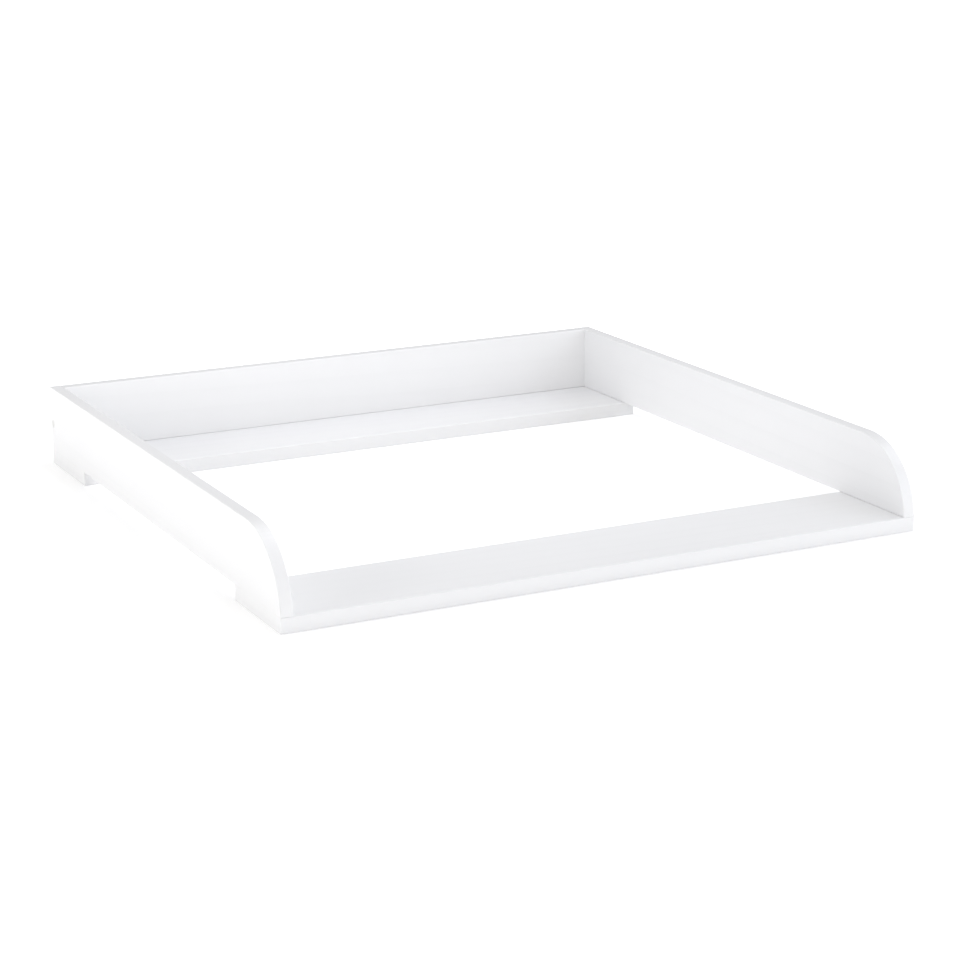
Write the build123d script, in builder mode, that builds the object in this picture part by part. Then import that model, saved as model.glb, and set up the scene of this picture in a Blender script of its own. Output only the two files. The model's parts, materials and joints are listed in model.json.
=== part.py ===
from build123d import *
import os
from math import sqrt

# Wooden changing top that stands on a chest of drawers: two flat base slats, two side
# panels that stand on the slats, and a back panel between them. The front is open, and
# so is the middle, where the top of the chest shows through.
#
# The origin is at the middle of the underside. +X points to the right end, +Y to the
# back and +Z up. Lengths are millimetres.

os.makedirs("parts", exist_ok=True)

# Overall size
width = 800.0
depth = 780.0
height = 102.0

# Boards
slat_thickness = 18.0
slat_width = 130.0
panel_thickness = 15.0
front_radius = 90.0  # big round at the front of each side panel
edge_easing = 1.0  # radius of the sanded edges
joint_easing = 0.8  # bevel along the foot of a panel, on the side of the mat

# Countersunk wood screws, put in from underneath
screw_length = 50.0
screw_thread_radius = 2.0
screw_core_radius = 1.4
screw_head_radius = 4.0
screw_head_recess = 0.8  # how far the head lies inside the slat's underside
screw_pitch = 1.8
screw_tip_length = 4.0
cross_recess_length = 4.4
cross_recess_width = 0.9
cross_recess_depth = 1.8

# Connecting screws through the side panels into the ends of the back panel
connector_length = 50.0
connector_head_radius = 4.9
connector_collar_radius = 3.4
connector_collar_end = 12.0  # from the top of the head
connector_thread_radius = 3.2
connector_core_radius = 2.3
connector_pitch = 3.0
connector_tip_radius = 1.8
hex_socket_size = 4.0  # across flats
hex_socket_depth = 3.0

# Cover caps over the connecting screws
cap_radius = 5.2
cap_thickness = 1.0
cap_edge_round = 0.4
cap_inset = 0.2  # the cap lies this far inside the panel's outer face
cap_pin_size = 3.8  # across flats
cap_pin_length = 2.2

# Fluted dowels
dowel_radius = 4.0
dowel_length = 30.0
dowel_chamfer = 1.0
flute_count = 16
flute_radius = 0.35

# Fits
clearance = 0.05  # radial gap round a dowel, a thread and a cap
hole_relief = 1.0  # free depth past the end of a dowel or a screw

# Places of the joints
outer_screw_offset = 25.0  # from the front or the back of the object
dowel_offset = 65.0
inner_screw_offset = 105.0
dowel_depth_in_slat = 12.0
dowel_depth_in_side = 10.0
connector_z = 54.0  # height of the connecting screws, a little under the panels' middle
back_dowel_drop = 22.0  # below and above the connecting screw
back_screw_spacing = 260.0
back_dowel_spacing = 260.0

# Worked out from the sizes above
side_x = width / 2 - panel_thickness / 2  # middle of a side panel's thickness
back_y = depth / 2 - panel_thickness / 2  # middle of the back panel's thickness
inner_x = width / 2 - panel_thickness  # inner face of a side panel
panel_height = height - slat_thickness
connector_inset = cap_inset + cap_thickness  # top of the connecting screw's head
back_dowel_z = {"lower": connector_z - back_dowel_drop, "upper": connector_z + back_dowel_drop}

sides = {"left": -1, "right": 1}
slat_ends = {"front": -1, "rear": 1}
screw_offsets = {"outer": outer_screw_offset, "inner": inner_screw_offset}
back_screw_x = {"left": -back_screw_spacing, "middle": 0.0, "right": back_screw_spacing}
back_dowel_x = {"left": -back_dowel_spacing / 2, "right": back_dowel_spacing / 2}


def facing_down(x, y, z):
    """Plane at a point, with its normal pointing down."""
    return Plane(origin=(x, y, z), x_dir=(1, 0, 0), z_dir=(0, 0, -1))


def facing_up(x, y, z):
    """Plane at a point, with its normal pointing up."""
    return Plane(origin=(x, y, z), x_dir=(1, 0, 0), z_dir=(0, 0, 1))


def facing_out(side, x, z):
    """Plane across the back panel's line, x from the middle, with its normal pointing outwards."""
    return Plane(origin=(side * x, back_y, z), x_dir=(0, 1, 0), z_dir=(side, 0, 0))


def along_axis(seat):
    """Plane that holds a fastener's axis: local x is the radius, local y points out of the seat."""
    return Plane(origin=seat.origin, x_dir=seat.x_dir, z_dir=seat.x_dir.cross(seat.z_dir))


def thread_points(start, end, core, crest, pitch):
    """Half outline of a thread, drawn as separate rings, from start down to end."""
    turns = int((start - end) / pitch)
    points = []
    for turn in range(turns):
        top = start - turn * pitch
        points += [(core, top), (crest, top - pitch / 2)]
    return points + [(core, start - turns * pitch)]


def wood_screw(seat):
    """Countersunk screw with a cross recess. The seat lies on the flat of its head."""
    shank_start = -(screw_head_radius - screw_core_radius)
    with BuildPart() as screw:
        with BuildSketch(along_axis(seat)):
            with BuildLine():
                Polyline(
                    (0, 0),
                    (screw_head_radius, 0),
                    *thread_points(
                        shank_start,
                        screw_tip_length - screw_length,
                        screw_core_radius,
                        screw_thread_radius,
                        screw_pitch,
                    ),
                    (0, -screw_length),
                    close=True,
                )
            make_face()
        revolve(axis=Axis(seat.origin, seat.z_dir))
        with BuildSketch(seat):
            Rectangle(cross_recess_length, cross_recess_width)
            Rectangle(cross_recess_width, cross_recess_length)
        extrude(amount=-cross_recess_depth, mode=Mode.SUBTRACT)
    return screw.part


def connecting_screw(seat):
    """Coarse-threaded screw with a hex socket. The seat lies on the flat of its head."""
    with BuildPart() as screw:
        with BuildSketch(along_axis(seat)):
            with BuildLine():
                Polyline(
                    (0, 0),
                    (connector_head_radius, 0),
                    (connector_collar_radius, connector_collar_radius - connector_head_radius),
                    (connector_collar_radius, -connector_collar_end),
                    *thread_points(
                        -connector_collar_end,
                        connector_pitch - connector_length,
                        connector_core_radius,
                        connector_thread_radius,
                        connector_pitch,
                    ),
                    (connector_tip_radius, -connector_length),
                    (0, -connector_length),
                    close=True,
                )
            make_face()
        revolve(axis=Axis(seat.origin, seat.z_dir))
        with BuildSketch(seat):
            RegularPolygon(hex_socket_size / 2, 6, major_radius=False)
        extrude(amount=-hex_socket_depth, mode=Mode.SUBTRACT)
    return screw.part


def cover_cap(seat):
    """Round cap with a hex pin that sits in the screw's socket. The seat is its outer face."""
    with BuildPart() as cap:
        with BuildSketch(seat):
            Circle(cap_radius)
        extrude(amount=-cap_thickness)
        rim = cap.edges().filter_by(GeomType.CIRCLE).sort_by(Axis(seat.origin, seat.z_dir))[-1]
        fillet(rim, radius=cap_edge_round)
        with BuildSketch(seat.offset(-cap_thickness)):
            RegularPolygon(cap_pin_size / 2, 6, major_radius=False)
        extrude(amount=-cap_pin_length)
    return cap.part


def dowel(seat):
    """Fluted dowel with chamfered ends. The seat is one end of it."""
    with BuildPart() as pin:
        with BuildSketch(seat):
            Circle(dowel_radius)
        extrude(amount=-dowel_length)
        chamfer(pin.edges().filter_by(GeomType.CIRCLE), length=dowel_chamfer)
        with BuildSketch(seat):
            with PolarLocations(dowel_radius, flute_count):
                Circle(flute_radius)
        extrude(amount=-dowel_length, mode=Mode.SUBTRACT)
    return pin.part


def save(piece, name):
    """Label a finished piece and write it to its own file."""
    piece.label = name
    export_step(piece, f"parts/{name}.step")


def screw_hole(seat):
    """Countersunk hole for a wood screw, right through a base slat."""
    with Locations(seat):
        CounterSinkHole(
            radius=screw_thread_radius + clearance,
            counter_sink_radius=screw_head_radius + clearance,
            depth=slat_thickness,
            counter_sink_angle=90,
        )


def blind_hole(mouth, radius, hole_depth):
    """Round hole that ends inside a board, a little deeper than what goes into it."""
    with Locations(mouth):
        Hole(radius=radius + clearance, depth=hole_depth + hole_relief)


# The base slats lie flat across the front and the back and run the full width.
for end_name, end in slat_ends.items():
    slat_y = end * (depth - slat_width) / 2
    with BuildPart() as slat:
        with BuildSketch():
            with Locations((0, slat_y)):
                Rectangle(width, slat_width)
        extrude(amount=slat_thickness)
        fillet(slat.edges().filter_by(Axis.X) + slat.edges().filter_by(Axis.Z), radius=edge_easing)
        for side in sides.values():
            x = side * side_x
            for offset in screw_offsets.values():
                screw_hole(facing_down(x, end * (depth / 2 - offset), screw_head_recess))
            dowel_mouth = facing_up(x, end * (depth / 2 - dowel_offset), slat_thickness)
            blind_hole(dowel_mouth, dowel_radius, dowel_depth_in_slat)
        if end_name == "rear":
            for x in back_screw_x.values():
                screw_hole(facing_down(x, back_y, screw_head_recess))
            for x in back_dowel_x.values():
                blind_hole(facing_up(x, back_y, slat_thickness), dowel_radius, dowel_depth_in_slat)
    save(slat.part, f"{end_name}_slat")


# The side panels stand on the slats. The front of each is one round that starts level with
# the top edge and comes down to the panel's lowest front corner.
round_length = sqrt(front_radius**2 - (front_radius - panel_height) ** 2)
front_y = -depth / 2
for side_name, side in sides.items():
    with BuildPart() as side_panel:
        with BuildSketch(Plane.YZ.offset(side * side_x - panel_thickness / 2)):
            with BuildLine():
                TangentArc(
                    (front_y + round_length, height),
                    (front_y, slat_thickness),
                    tangent=(-1, 0),
                )
                Polyline(
                    (front_y, slat_thickness),
                    (depth / 2, slat_thickness),
                    (depth / 2, height),
                    (front_y + round_length, height),
                )
            make_face()
        extrude(amount=panel_thickness)
        bottom_edges = side_panel.faces().sort_by(Axis.Z)[0].edges()
        outline = side_panel.faces().filter_by(Axis.X).edges() - bottom_edges
        fillet(outline, radius=edge_easing)

        # The foot is eased along the mat's side only, as a small bevel
        with BuildSketch(Plane.XZ.offset(depth / 2)):
            with BuildLine():
                Polyline(
                    (side * inner_x, slat_thickness),
                    (side * (inner_x + joint_easing), slat_thickness),
                    (side * inner_x, slat_thickness + joint_easing),
                    close=True,
                )
            make_face()
        extrude(amount=-depth, mode=Mode.SUBTRACT)

        # Holes in the bottom edge, for the slats' screws and dowels
        for end in slat_ends.values():
            for offset in screw_offsets.values():
                mouth = facing_down(side * side_x, end * (depth / 2 - offset), slat_thickness)
                screw_depth = screw_length + screw_head_recess - slat_thickness
                blind_hole(mouth, screw_thread_radius, screw_depth)
            mouth = facing_down(side * side_x, end * (depth / 2 - dowel_offset), slat_thickness)
            blind_hole(mouth, dowel_radius, dowel_length - dowel_depth_in_slat)

        # Holes at the back corner, for the connecting screw, its cap and the dowels
        with Locations(facing_out(side, width / 2, connector_z)):
            Hole(radius=cap_radius + clearance, depth=connector_inset)
        with Locations(facing_out(side, width / 2 - connector_inset, connector_z)):
            CounterSinkHole(
                radius=connector_collar_radius + clearance,
                counter_sink_radius=connector_head_radius + clearance,
                depth=panel_thickness,
                counter_sink_angle=90,
            )
        for z in back_dowel_z.values():
            blind_hole(facing_out(-side, -inner_x, z), dowel_radius, dowel_depth_in_side)
    save(side_panel.part, f"{side_name}_side_panel")


# The back panel stands on the rear slat, between the side panels.
with BuildPart() as back_panel:
    with BuildSketch(Plane.XY.offset(slat_thickness)):
        with Locations((0, back_y)):
            Rectangle(2 * inner_x, panel_thickness)
    extrude(amount=panel_height)
    fillet(back_panel.faces().sort_by(Axis.Z)[-1].edges().filter_by(Axis.X), radius=edge_easing)
    foot_edges = back_panel.faces().sort_by(Axis.Z)[0].edges().filter_by(Axis.X)
    chamfer(foot_edges.sort_by(Axis.Y)[0], length=joint_easing)
    for side in sides.values():
        thread_depth = connector_length + connector_inset - panel_thickness
        blind_hole(facing_out(side, inner_x, connector_z), connector_thread_radius, thread_depth)
        for z in back_dowel_z.values():
            end_depth = dowel_length - dowel_depth_in_side
            blind_hole(facing_out(side, inner_x, z), dowel_radius, end_depth)
    for x in back_screw_x.values():
        screw_depth = screw_length + screw_head_recess - slat_thickness
        blind_hole(facing_down(x, back_y, slat_thickness), screw_thread_radius, screw_depth)
    for x in back_dowel_x.values():
        standing_depth = dowel_length - dowel_depth_in_slat
        blind_hole(facing_down(x, back_y, slat_thickness), dowel_radius, standing_depth)
save(back_panel.part, "back_panel")


# Screws and dowels between the slats and the side panels, three at each corner
for side_name, side in sides.items():
    for end_name, end in slat_ends.items():
        corner = f"{end_name}_{side_name}"
        for place, offset in screw_offsets.items():
            seat = facing_down(side * side_x, end * (depth / 2 - offset), screw_head_recess)
            save(wood_screw(seat), f"{corner}_slat_screw_{place}")
        dowel_y = end * (depth / 2 - dowel_offset)
        seat = facing_down(side * side_x, dowel_y, slat_thickness - dowel_depth_in_slat)
        save(dowel(seat), f"{corner}_slat_dowel")


# Screws and dowels between the rear slat and the back panel
for place, x in back_screw_x.items():
    save(wood_screw(facing_down(x, back_y, screw_head_recess)), f"back_panel_screw_{place}")
for place, x in back_dowel_x.items():
    seat = facing_down(x, back_y, slat_thickness - dowel_depth_in_slat)
    save(dowel(seat), f"back_panel_dowel_{place}")


# Connecting screws, caps and dowels between the side panels and the back panel
for side_name, side in sides.items():
    seat = facing_out(side, width / 2 - connector_inset, connector_z)
    save(connecting_screw(seat), f"{side_name}_connecting_screw")
    seat = facing_out(side, width / 2 - cap_inset, connector_z)
    save(cover_cap(seat), f"{side_name}_cover_cap")
    for place, z in back_dowel_z.items():
        seat = facing_out(side, inner_x + dowel_depth_in_side, z)
        save(dowel(seat), f"{side_name}_corner_dowel_{place}")
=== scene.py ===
"""White lacquered changing top for a chest of drawers, in a plain white studio.

The boards, screws, caps and dowels are the CAD model's own pieces. This script gives them their
finishes and adds the floor, the lights and the camera. Lengths are metres, in the CAD model's frame.
"""
import json
import math

import bpy
from mathutils import Matrix, Vector

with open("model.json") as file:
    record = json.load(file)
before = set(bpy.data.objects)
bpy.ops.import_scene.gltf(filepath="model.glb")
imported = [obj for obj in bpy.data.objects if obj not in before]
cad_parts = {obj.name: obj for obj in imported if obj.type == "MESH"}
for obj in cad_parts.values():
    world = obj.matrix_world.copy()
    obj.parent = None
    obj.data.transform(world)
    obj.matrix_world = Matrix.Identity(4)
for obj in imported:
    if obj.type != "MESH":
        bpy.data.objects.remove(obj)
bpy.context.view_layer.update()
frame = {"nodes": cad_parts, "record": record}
scene = bpy.context.scene

MILLIMETRE = 0.001


# ---------------------------------------------------------------- node helpers


class Material:
    """A node material, with short calls for the nodes that the finishes below are made of."""

    def __init__(self, name):
        self.material = bpy.data.materials.new(name)
        self.material.use_nodes = True
        self.tree = self.material.node_tree
        self.shader = self.tree.nodes["Principled BSDF"]
        coordinates = self.tree.nodes.new("ShaderNodeTexCoord")
        self.position = coordinates.outputs["Object"]

    def node(self, kind, **settings):
        node = self.tree.nodes.new(kind)
        for key, value in settings.items():
            setattr(node, key, value)
        return node

    def feed(self, socket, value):
        """Link an output to a socket, or set the socket's own value."""
        if isinstance(value, bpy.types.NodeSocket):
            self.tree.links.new(value, socket)
        else:
            socket.default_value = value

    def mapped(self, vector, location=(0, 0, 0), rotation=(0, 0, 0), scale=(1, 1, 1)):
        mapping = self.node("ShaderNodeMapping")
        self.feed(mapping.inputs["Vector"], vector)
        mapping.inputs["Location"].default_value = location
        mapping.inputs["Rotation"].default_value = rotation
        mapping.inputs["Scale"].default_value = scale
        return mapping.outputs["Vector"]

    def noise(self, vector, scale, detail=3.0, roughness=0.5, distortion=0.0):
        noise = self.node("ShaderNodeTexNoise")
        self.feed(noise.inputs["Vector"], vector)
        noise.inputs["Scale"].default_value = scale
        noise.inputs["Detail"].default_value = detail
        noise.inputs["Roughness"].default_value = roughness
        noise.inputs["Distortion"].default_value = distortion
        return noise.outputs["Fac"]

    def ramp(self, value, low, high, out_low=0.0, out_high=1.0):
        """Value from low to high, mapped smoothly to out_low to out_high and held at its ends."""
        remap = self.node("ShaderNodeMapRange", interpolation_type="SMOOTHSTEP")
        self.feed(remap.inputs["Value"], value)
        limits = {"From Min": low, "From Max": high, "To Min": out_low, "To Max": out_high}
        for socket, number in limits.items():
            remap.inputs[socket].default_value = number
        return remap.outputs["Result"]

    def math(self, operation, first, second=0.0):
        """One arithmetic node. ABSOLUTE takes only the first value."""
        node = self.node("ShaderNodeMath", operation=operation)
        self.feed(node.inputs[0], first)
        self.feed(node.inputs[1], second)
        return node.outputs[0]

    def mix_colour(self, factor, first, second):
        mix = self.node("ShaderNodeMix", data_type="RGBA")
        self.feed(mix.inputs["Factor"], factor)
        self.feed(mix.inputs["A"], first)
        self.feed(mix.inputs["B"], second)
        return mix.outputs["Result"]

    def scaled_colour(self, colour, factor):
        scaled = self.node("ShaderNodeVectorMath", operation="SCALE")
        self.feed(scaled.inputs[0], colour)
        scaled.inputs["Scale"].default_value = factor
        return scaled.outputs["Vector"]

    def facing(self, axis):
        """1 on the faces that look along the axis, either way, and 0 on the others."""
        geometry = self.node("ShaderNodeNewGeometry")
        along = self.node("ShaderNodeVectorMath", operation="DOT_PRODUCT")
        self.feed(along.inputs[0], geometry.outputs["True Normal"])
        along.inputs[1].default_value = axis
        return self.ramp(self.math("ABSOLUTE", along.outputs["Value"]), 0.85, 0.99)

    def edge_mask(self, radius, spread):
        """1 on an edge rounded tighter than radius, 0 on a flat face."""
        bevel = self.node("ShaderNodeBevel", samples=6)
        bevel.inputs["Radius"].default_value = radius
        geometry = self.node("ShaderNodeNewGeometry")
        alike = self.node("ShaderNodeVectorMath", operation="DOT_PRODUCT")
        self.feed(alike.inputs[0], bevel.outputs["Normal"])
        self.feed(alike.inputs[1], geometry.outputs["True Normal"])
        return self.ramp(alike.outputs["Value"], 1.0 - spread, 1.0, 1.0, 0.0)

    def bump(self, height, depth, under=None):
        """Relief of the given depth in metres, on top of any relief under it."""
        bump = self.node("ShaderNodeBump")
        bump.inputs["Strength"].default_value = 1.0
        bump.inputs["Distance"].default_value = depth
        self.feed(bump.inputs["Height"], height)
        if under is not None:
            self.feed(bump.inputs["Normal"], under)
        return bump.outputs["Normal"]


# ---------------------------------------------------------------- finishes

LACQUER = (0.797, 0.80, 0.806, 1)
LACQUER_PAINTED_SHADE = (0.725, 0.728, 0.732, 1)  # painted shade: a darker lacquer for the narrow faces, standing in for the shade that falls on them
LACQUER_LINE = 0.975  # how much of its brightness it keeps over the darker growth lines
LACQUER_THIN = (0.76, 0.745, 0.715, 1)  # where it thins on an edge and the wood shows through
WORN_AMOUNT = 0.7  # how far a thin edge goes towards that colour
WORN_RADIUS = 1.6 * MILLIMETRE  # edges rounded tighter than this can be thin

# How fine each pattern is, in texture units per metre: along the grain, then across it both ways
WANDER_SCALE = (2.2, 9.0, 9.0)
FIGURE_SCALE = (0.6, 24.0, 24.0)
FIBRE_SCALE = (14.0, 900.0, 900.0)
PORE_SCALE = (110.0, 2200.0, 2200.0)
SMEAR_SCALE = (3.0, 14.0, 14.0)
# The same for the patterns that are alike in all directions
PATCH_SCALE = 3.0
WEAR_SCALE = 42.0
PEEL_SCALE = 420.0

GRAIN_DEPTH = 0.035 * MILLIMETRE
PEEL_DEPTH = 0.02 * MILLIMETRE


def white_lacquer(name, along_y, offset, narrow_faces, narrow_painted_shade):
    """Satin white lacquer, brushed on solid wood whose grain runs along X, or along Y.

    The board's narrow faces look along the axis narrow_faces, and the last argument is how much
    painted shade darkens them, from 0 to 1.
    """
    m = Material(name)
    turn = (0, 0, math.radians(90)) if along_y else (0, 0, 0)
    wood = m.mapped(m.position, location=offset, rotation=turn)

    # The board's figure: growth lines that wander along the grain, and fine fibres and pores.
    wander = m.noise(m.mapped(wood, scale=WANDER_SCALE), 1.0, detail=2.0)
    figure = m.node("ShaderNodeTexWave", wave_type="BANDS", bands_direction="DIAGONAL")
    figure.wave_profile = "SAW"
    m.feed(figure.inputs["Vector"], m.mapped(wood, scale=FIGURE_SCALE))
    figure.inputs["Scale"].default_value = 1.0
    figure.inputs["Distortion"].default_value = 5.0
    figure.inputs["Detail"].default_value = 2.0
    figure.inputs["Detail Scale"].default_value = 0.6
    lines = m.ramp(figure.outputs["Fac"], 0.55, 1.0)
    fibres = m.noise(m.mapped(wood, scale=FIBRE_SCALE), 1.0, detail=4.0, roughness=0.6)
    pores = m.ramp(m.noise(m.mapped(wood, scale=PORE_SCALE), 1.0, detail=1.0), 0.66, 0.78)
    grain = m.math("ADD", m.math("MULTIPLY", lines, 0.6), m.math("MULTIPLY", fibres, 0.4))

    # Colour: growth lines barely show through the white, the narrow faces are darkened as painted
    # shade, and edges are a little warmer where the lacquer is thin.
    patches = m.noise(m.position, PATCH_SCALE, detail=3.0)
    shade = m.math("MULTIPLY", grain, m.ramp(wander, 0.3, 0.7))
    shade = m.math("MULTIPLY", shade, m.ramp(patches, 0.25, 0.75, 0.4, 1.0))
    # Painted shade: the narrow faces are darkened in colour, standing in for the shade that falls on
    # them.
    narrow = m.math("MULTIPLY", m.facing(narrow_faces), narrow_painted_shade)
    plain = m.mix_colour(narrow, LACQUER, LACQUER_PAINTED_SHADE)
    darker = m.scaled_colour(plain, LACQUER_LINE)
    painted = m.mix_colour(shade, plain, darker)
    patchy = m.ramp(m.noise(m.position, WEAR_SCALE), 0.48, 0.66, 0.0, WORN_AMOUNT)
    worn = m.math("MULTIPLY", m.edge_mask(WORN_RADIUS, 0.25), patchy)
    m.feed(m.shader.inputs["Base Color"], m.mix_colour(worn, painted, LACQUER_THIN))

    # Gloss: satin, duller over the grain, with broad smears from wiping.
    smears = m.noise(m.mapped(wood, scale=SMEAR_SCALE), 1.0, detail=4.0, distortion=0.6)
    gloss = m.math("ADD", m.ramp(smears, 0.3, 0.7, 0.36, 0.46), m.math("MULTIPLY", grain, 0.06))
    m.feed(m.shader.inputs["Roughness"], gloss)
    m.shader.inputs["Coat Weight"].default_value = 0.12
    m.shader.inputs["Coat Roughness"].default_value = 0.22

    # Relief: sunken growth lines and pores under the lacquer, then its own orange peel.
    sunken = m.math("SUBTRACT", 1.0, m.math("ADD", grain, m.math("MULTIPLY", pores, 0.5)))
    relief = m.bump(sunken, GRAIN_DEPTH)
    peel = m.noise(m.position, PEEL_SCALE, detail=2.0, roughness=0.4)
    m.feed(m.shader.inputs["Normal"], m.bump(peel, PEEL_DEPTH, relief))
    return m.material


ZINC = (0.74, 0.75, 0.77, 1)
ZINC_STAINED = (0.60, 0.60, 0.58, 1)


def zinc_plate(name):
    """Bright zinc plate on a screw, with a mottled gloss and a few duller stains."""
    m = Material(name)
    mottle = m.noise(m.position, 900.0, detail=4.0, roughness=0.6)
    stains = m.ramp(m.noise(m.position, 160.0, detail=3.0), 0.4, 0.7)
    m.feed(m.shader.inputs["Base Color"], m.mix_colour(stains, ZINC, ZINC_STAINED))
    m.shader.inputs["Metallic"].default_value = 1.0
    m.feed(m.shader.inputs["Roughness"], m.ramp(mottle, 0.3, 0.7, 0.2, 0.42))
    m.feed(m.shader.inputs["Normal"], m.bump(mottle, 0.01 * MILLIMETRE))
    return m.material


CAP_WHITE = (0.70, 0.70, 0.69, 1)
CAP_HAZE = (0.66, 0.66, 0.655, 1)
CAP_RIM_POLISH = 0.15  # how much smoother the rim is than the face


def cap_plastic(name):
    """Moulded white plastic, finely eroded, with a rim polished by handling."""
    m = Material(name)
    spark = m.noise(m.position, 3500.0, detail=2.0)
    haze = m.noise(m.position, 300.0, detail=3.0)
    m.feed(m.shader.inputs["Base Color"], m.mix_colour(haze, CAP_WHITE, CAP_HAZE))
    eroded = m.ramp(spark, 0.3, 0.7, 0.42, 0.56)
    polished = m.math("MULTIPLY", m.edge_mask(0.5 * MILLIMETRE, 0.3), CAP_RIM_POLISH)
    m.feed(m.shader.inputs["Roughness"], m.math("SUBTRACT", eroded, polished))
    m.feed(m.shader.inputs["Normal"], m.bump(spark, 0.01 * MILLIMETRE))
    m.shader.inputs["Subsurface Weight"].default_value = 0.05
    m.shader.inputs["Subsurface Radius"].default_value = (0.002, 0.002, 0.002)
    m.shader.inputs["Subsurface Scale"].default_value = 1.0
    return m.material


BEECH = (0.62, 0.42, 0.26, 1)
BEECH_FIBRE = (0.50, 0.32, 0.19, 1)
BEECH_FLECK = (0.30, 0.17, 0.09, 1)
BEECH_FIBRE_SCALE = (1400.0, 1400.0, 90.0)  # texture units per metre
BEECH_FLECK_SCALE = (2600.0, 2600.0, 420.0)


def beech(name):
    """Bare turned beech: fine pale grain and its short dark flecks."""
    m = Material(name)
    fibres = m.noise(m.mapped(m.position, scale=BEECH_FIBRE_SCALE), 1.0, detail=4.0, roughness=0.6)
    specks = m.noise(m.mapped(m.position, scale=BEECH_FLECK_SCALE), 1.0, detail=1.0)
    flecks = m.ramp(specks, 0.62, 0.72, 0.0, 0.6)
    pale = m.mix_colour(m.ramp(fibres, 0.3, 0.7), BEECH, BEECH_FIBRE)
    m.feed(m.shader.inputs["Base Color"], m.mix_colour(flecks, pale, BEECH_FLECK))
    m.feed(m.shader.inputs["Roughness"], m.ramp(fibres, 0.3, 0.7, 0.55, 0.7))
    m.feed(m.shader.inputs["Normal"], m.bump(fibres, 0.03 * MILLIMETRE))
    return m.material


FRONT_TO_BACK = (0, 1, 0)
UPWARDS = (0, 0, 1)

# Boards: whether the grain runs along Y, where in the wood the board was cut, which way its narrow
# faces look and how much painted shade darkens them
BOARDS = {
    "front_slat": (False, (0.0, 0.0, 0.0), FRONT_TO_BACK, 0.0),
    "rear_slat": (False, (3.1, 0.7, 0.2), FRONT_TO_BACK, 1.0),
    "back_panel": (False, (5.3, 1.9, 0.4), UPWARDS, 1.0),
    "left_side_panel": (True, (7.7, 2.3, 0.6), UPWARDS, 0.7),
    "right_side_panel": (True, (9.2, 3.6, 0.8), UPWARDS, 0.7),
}


def finish_pieces():
    """Give every CAD piece its finish, by the material slot that the record names."""
    shared = {
        "zinc_screw": zinc_plate("zinc_screw_finish"),
        "white_cap_plastic": cap_plastic("white_cap_finish"),
        "beech_dowel": beech("beech_dowel_finish"),
    }
    for subpart in frame["record"]["subparts"]:
        name, slot = subpart["node"], subpart["material_slot"]
        piece = frame["nodes"][name]
        if name in BOARDS:
            material = white_lacquer(f"{name}_lacquer", *BOARDS[name])
        else:
            material = shared[slot]
        for material_slot in piece.material_slots:
            material_slot.material = material


# ---------------------------------------------------------------- studio

CAMERA_LOCATION = (-1.2814, -2.5995, 0.8157)
CAMERA_HEADING = 26.72  # degrees, turned from +Y towards +X
CAMERA_PITCH = 15.37  # degrees, looking down
CAMERA_ROLL = -0.37  # degrees
CAMERA_LENS = 91.04  # millimetres
SENSOR_WIDTH = 36.0  # millimetres


def make_camera():
    """The camera at the photograph's viewing angle."""
    heading, pitch = math.radians(CAMERA_HEADING), math.radians(CAMERA_PITCH)
    forward = Vector(
        (math.sin(heading) * math.cos(pitch), math.cos(heading) * math.cos(pitch), -math.sin(pitch))
    )
    data = bpy.data.cameras.new("camera")
    data.lens, data.sensor_width = CAMERA_LENS, SENSOR_WIDTH
    data.clip_end = 100.0
    camera = bpy.data.objects.new("camera", data)
    roll = Matrix.Rotation(math.radians(CAMERA_ROLL), 4, "Z")
    turn = forward.to_track_quat("-Z", "Y").to_matrix().to_4x4() @ roll
    camera.matrix_world = Matrix.Translation(CAMERA_LOCATION) @ turn
    scene.collection.objects.link(camera)
    scene.camera = camera


FLOOR_SIZE = 60.0
FLOOR_GAP = 0.1 * MILLIMETRE  # keeps the floor from meeting the slats' undersides in one plane
FLOOR_GLOW = (0.15, 1.0)  # light given off near the object and far from it
FLOOR_GLOW_REACH = (0.42, 1.5)  # metres from the object's middle


def make_floor():
    """A plain white floor, lit from within away from the object, as a studio's background is."""
    mesh = bpy.data.meshes.new("floor")
    half = FLOOR_SIZE / 2
    corners = [(-half, -half, 0), (half, -half, 0), (half, half, 0), (-half, half, 0)]
    mesh.from_pydata(corners, [], [(0, 1, 2, 3)])
    floor = bpy.data.objects.new("floor", mesh)
    floor.location = (0, 0, -FLOOR_GAP)
    scene.collection.objects.link(floor)
    m = Material("floor_white")
    m.shader.inputs["Base Color"].default_value = (0.95, 0.95, 0.95, 1)
    m.shader.inputs["Roughness"].default_value = 0.9
    m.shader.inputs["Specular IOR Level"].default_value = 0.1
    m.shader.inputs["Emission Color"].default_value = (1, 1, 1, 1)
    distance = m.node("ShaderNodeVectorMath", operation="LENGTH")
    m.feed(distance.inputs[0], m.position)
    glow = m.ramp(distance.outputs["Value"], *FLOOR_GLOW_REACH, *FLOOR_GLOW)
    m.feed(m.shader.inputs["Emission Strength"], glow)
    mesh.materials.append(m.material)


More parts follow.
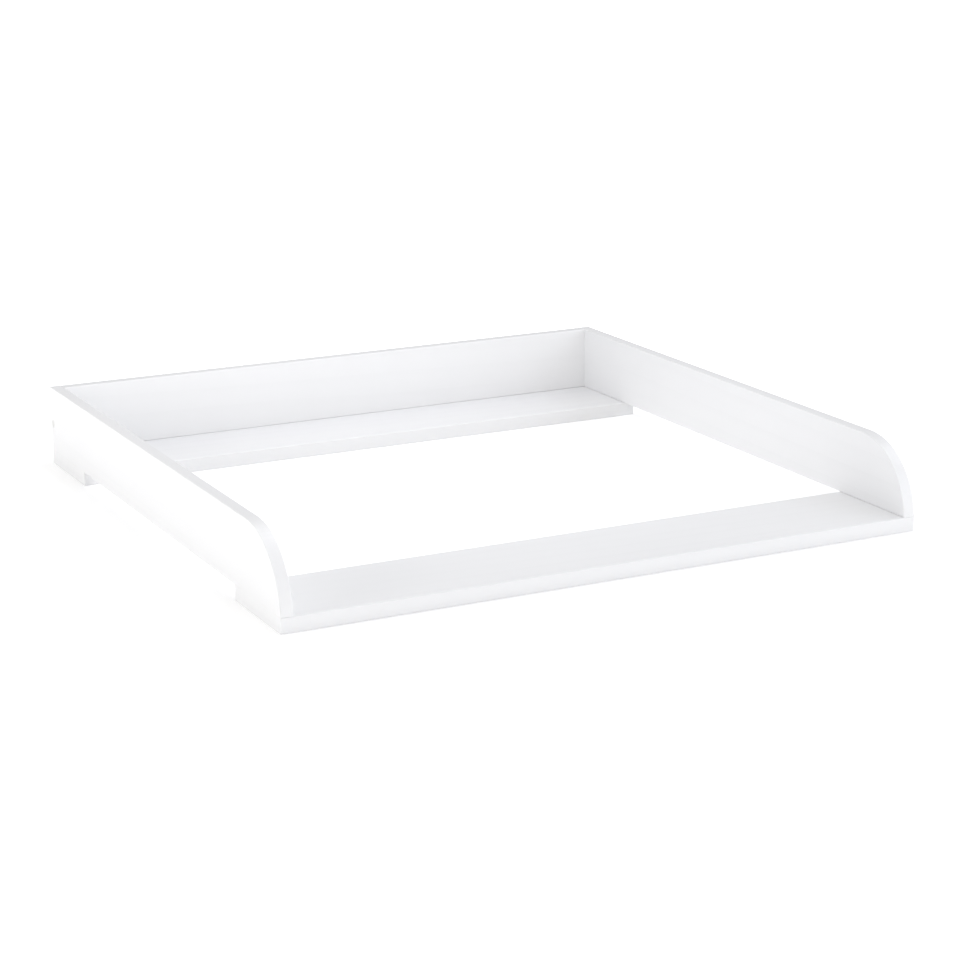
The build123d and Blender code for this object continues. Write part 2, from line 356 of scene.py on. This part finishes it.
# Soft boxes: place, diameter and watts in red, green and blue
LIGHTS = {
    "left_low": ((-1.7, -0.2, 0.45), 0.8, (5.0, 4.9, 4.7)),
    "front_right": ((1.8, -2.2, 1.0), 1.4, (8.2, 8.9, 9.7)),
    "above_middle": ((0.0, 0.05, 0.95), 0.6, (2.6, 2.6, 2.7)),
}
# Broad light from far off: heading it comes from, height, and strength in red, green and blue
SUNS = {
    "from_front": (180, 12, (0.56, 0.54, 0.50)),
    "from_left": (270, 15, (0.30, 0.30, 0.30)),
    "from_right": (90, 15, (0.60, 0.60, 0.60)),
    "from_right_high": (90, 50, (0.43, 0.43, 0.46)),
    "from_rear_high": (0, 50, (0.30, 0.30, 0.24)),
}
SUN_ANGLE = 40.0
WORLD_COLOUR = (0.55, 0.55, 0.567)
AIM = (0.0, 0.0, 0.05)  # where the soft boxes point


def make_lights():
    """Plain soft studio light."""
    for name, (location, size, power) in LIGHTS.items():
        data = bpy.data.lights.new(name, "AREA")
        data.shape, data.size = "DISK", size
        data.energy = max(power)
        data.color = [p / max(power) for p in power]
        light = bpy.data.objects.new(name, data)
        light.location = location
        light.rotation_mode = "QUATERNION"
        light.rotation_quaternion = (Vector(AIM) - Vector(location)).to_track_quat("-Z", "Y")
        scene.collection.objects.link(light)
    for name, (heading, height, power) in SUNS.items():
        h, e = math.radians(heading), math.radians(height)
        data = bpy.data.lights.new(name, "SUN")
        data.angle = math.radians(SUN_ANGLE)
        data.energy = max(power)
        data.color = [p / max(power) for p in power]
        light = bpy.data.objects.new(name, data)
        light.rotation_mode = "QUATERNION"
        away = Vector((math.sin(h) * math.cos(e), math.cos(h) * math.cos(e), math.sin(e)))
        light.rotation_quaternion = (-away).to_track_quat("-Z", "Y")
        scene.collection.objects.link(light)
    world = bpy.data.worlds.new("studio")
    scene.world = world
    world.use_nodes = True
    background = world.node_tree.nodes["Background"]
    background.inputs["Color"].default_value = (*WORLD_COLOUR, 1)
    background.inputs["Strength"].default_value = 1.0


scene.view_settings.view_transform = "Standard"
make_camera()
make_floor()
make_lights()
finish_pieces()
